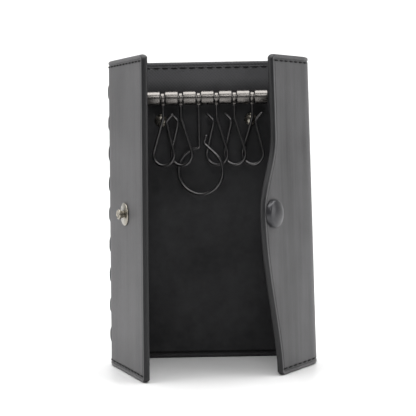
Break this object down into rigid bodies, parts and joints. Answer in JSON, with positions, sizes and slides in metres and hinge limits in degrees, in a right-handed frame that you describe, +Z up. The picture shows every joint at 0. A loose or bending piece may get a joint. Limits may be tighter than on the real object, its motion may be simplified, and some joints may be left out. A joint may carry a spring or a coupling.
{
  "type": "key organiser",
  "caption": "Folding leather key case standing open: two flaps, a slotted key bar with swinging wire hooks and a split ring, and a snap button to hold it shut.",
  "frame": {"origin": "middle of the back panel's outer leather, halfway through its thickness, on the surface the case stands on", "axes": "+Z up the case, +X to the right of someone who looks into the open case, -Y towards them"},
  "size_m": [0.0737, 0.0484, 0.11],
  "materials": {
    "outer_leather": "matt smooth, lightly dragged grain",
    "lining_leather": "matt, fine crossed grain",
    "lace_leather": "matt",
    "board": "plain fibre board",
    "bar_metal": "satin, warm grey plate",
    "hook_wire": "dark gunmetal plate, satin",
    "rivet_metal": "satin, warm pale plate",
    "snap_metal": "plain plate",
    "cap_metal": "dark, half gloss",
    "thread": "waxed thread"
  },
  "bodies": {
    "case_back": {"back_outer": "outer_leather", "back_lining": "lining_leather", "stiffener_board": "board", "key_plate": "bar_metal", "hook_rod": "bar_metal", "plate_rivets": "rivet_metal", "rivet_washers": "bar_metal", "back_stitching": "thread"},
    "left_fold": {"left_fold_outer": "outer_leather", "left_fold_lining": "lining_leather"},
    "left_flap": {"left_flap_outer": "outer_leather", "left_flap_lining": "lining_leather", "spine_lace": "lace_leather", "snap_stud": "rivet_metal", "stud_post": "rivet_metal", "left_flap_stitching": "thread"},
    "right_fold": {"right_fold_outer": "outer_leather", "right_fold_lining": "lining_leather"},
    "right_flap": {"right_flap_outer": "outer_leather", "right_flap_lining": "lining_leather", "snap_socket": "snap_metal", "snap_spring": "snap_metal", "snap_cap": "cap_metal", "right_flap_stitching": "thread"},
    "shackle_1": {"shackle_1": "bar_metal"},
    "hook_1": {"key_hook_1": "hook_wire"},
    "shackle_2": {"shackle_2": "bar_metal"},
    "hook_2": {"key_hook_2": "hook_wire"},
    "shackle_3": {"shackle_3": "bar_metal"},
    "hook_3": {"ring_hook_3": "hook_wire"},
    "shackle_4": {"shackle_4": "bar_metal"},
    "hook_4": {"key_hook_4": "hook_wire"},
    "shackle_5": {"shackle_5": "bar_metal"},
    "hook_5": {"key_hook_5": "hook_wire"},
    "shackle_6": {"shackle_6": "bar_metal"},
    "hook_6": {"key_hook_6": "hook_wire"}
  },
  "joints": [
    {"name": "left_fold_bend", "type": "hinge", "parent": "case_back", "child": "left_fold", "pos_m": [-0.02552, -0.00061, 0], "axis": [0, 0, -1], "range_deg": [-34, 56]},
    {"name": "left_flap_bend", "type": "hinge", "parent": "left_fold", "child": "left_flap", "pos_m": [-0.03367, -0.00631, 0], "axis": [0, 0, -1], "range_deg": [-34, 56]},
    {"name": "right_fold_bend", "type": "hinge", "parent": "case_back", "child": "right_fold", "pos_m": [0.02525, -0.0007, 0], "axis": [0, 0, 1], "range_deg": [-28.5, 61.5]},
    {"name": "right_flap_bend", "type": "hinge", "parent": "right_fold", "child": "right_flap", "pos_m": [0.03517, -0.00902, 0], "axis": [0, 0, 1], "range_deg": [-28.5, 61.5]},
    {"name": "hook_6_swing", "type": "hinge", "parent": "case_back", "child": "shackle_6", "pos_m": [0.01635, -0.00585, 0.0966], "axis": [-1, 0, 0], "range_deg": [0, 75]},
    {"name": "hook_5_swing", "type": "hinge", "parent": "case_back", "child": "shackle_5", "pos_m": [0.00981, -0.00585, 0.0966], "axis": [-1, 0, 0], "range_deg": [-1, 79]},
    {"name": "hook_4_swing", "type": "hinge", "parent": "case_back", "child": "shackle_4", "pos_m": [0.00327, -0.00585, 0.0966], "axis": [-1, 0, 0], "range_deg": [-1, 81]},
    {"name": "hook_3_swing", "type": "hinge", "parent": "case_back", "child": "shackle_3", "pos_m": [-0.00327, -0.00585, 0.0966], "axis": [-1, 0, 0], "range_deg": [-1, 84]},
    {"name": "hook_2_swing", "type": "hinge", "parent": "case_back", "child": "shackle_2", "pos_m": [-0.00981, -0.00585, 0.0966], "axis": [-1, 0, 0], "range_deg": [-1, 86]},
    {"name": "hook_1_swing", "type": "hinge", "parent": "case_back", "child": "shackle_1", "pos_m": [-0.01635, -0.00585, 0.0966], "axis": [-1, 0, 0], "range_deg": [-1, 88]},
    {"name": "hook_1_swivel", "type": "hinge", "parent": "shackle_1", "child": "hook_1", "pos_m": [-0.01635, -0.00585, 0.0966], "axis": [0, 0, -1], "range_deg": [-5, 10]},
    {"name": "hook_2_swivel", "type": "hinge", "parent": "shackle_2", "child": "hook_2", "pos_m": [-0.00981, -0.00585, 0.0966], "axis": [0, 0, -1], "range_deg": [-5, 10]},
    {"name": "hook_3_swivel", "type": "hinge", "parent": "shackle_3", "child": "hook_3", "pos_m": [-0.00327, -0.00585, 0.0966], "axis": [0, 0, -1], "range_deg": [-3, 3]},
    {"name": "hook_4_swivel", "type": "hinge", "parent": "shackle_4", "child": "hook_4", "pos_m": [0.00327, -0.00585, 0.0966], "axis": [0, 0, -1], "range_deg": [-5, 10]},
    {"name": "hook_5_swivel", "type": "hinge", "parent": "shackle_5", "child": "hook_5", "pos_m": [0.00981, -0.00585, 0.0966], "axis": [0, 0, -1], "range_deg": [-5, 10]},
    {"name": "hook_6_swivel", "type": "hinge", "parent": "shackle_6", "child": "hook_6", "pos_m": [0.01635, -0.00585, 0.0966], "axis": [0, 0, -1], "range_deg": [-5, 10]}
  ],
  "couplings": [
    {"joint": "left_flap_bend", "follows": "left_fold_bend", "ratio": 1},
    {"joint": "right_flap_bend", "follows": "right_fold_bend", "ratio": 1},
    {"joint": "hook_5_swing", "follows": "hook_6_swing", "ratio": 1.03},
    {"joint": "hook_4_swing", "follows": "hook_6_swing", "ratio": 1.06},
    {"joint": "hook_3_swing", "follows": "hook_6_swing", "ratio": 1.1},
    {"joint": "hook_2_swing", "follows": "hook_6_swing", "ratio": 1.13},
    {"joint": "hook_1_swing", "follows": "hook_6_swing", "ratio": 1.16}
  ]
}
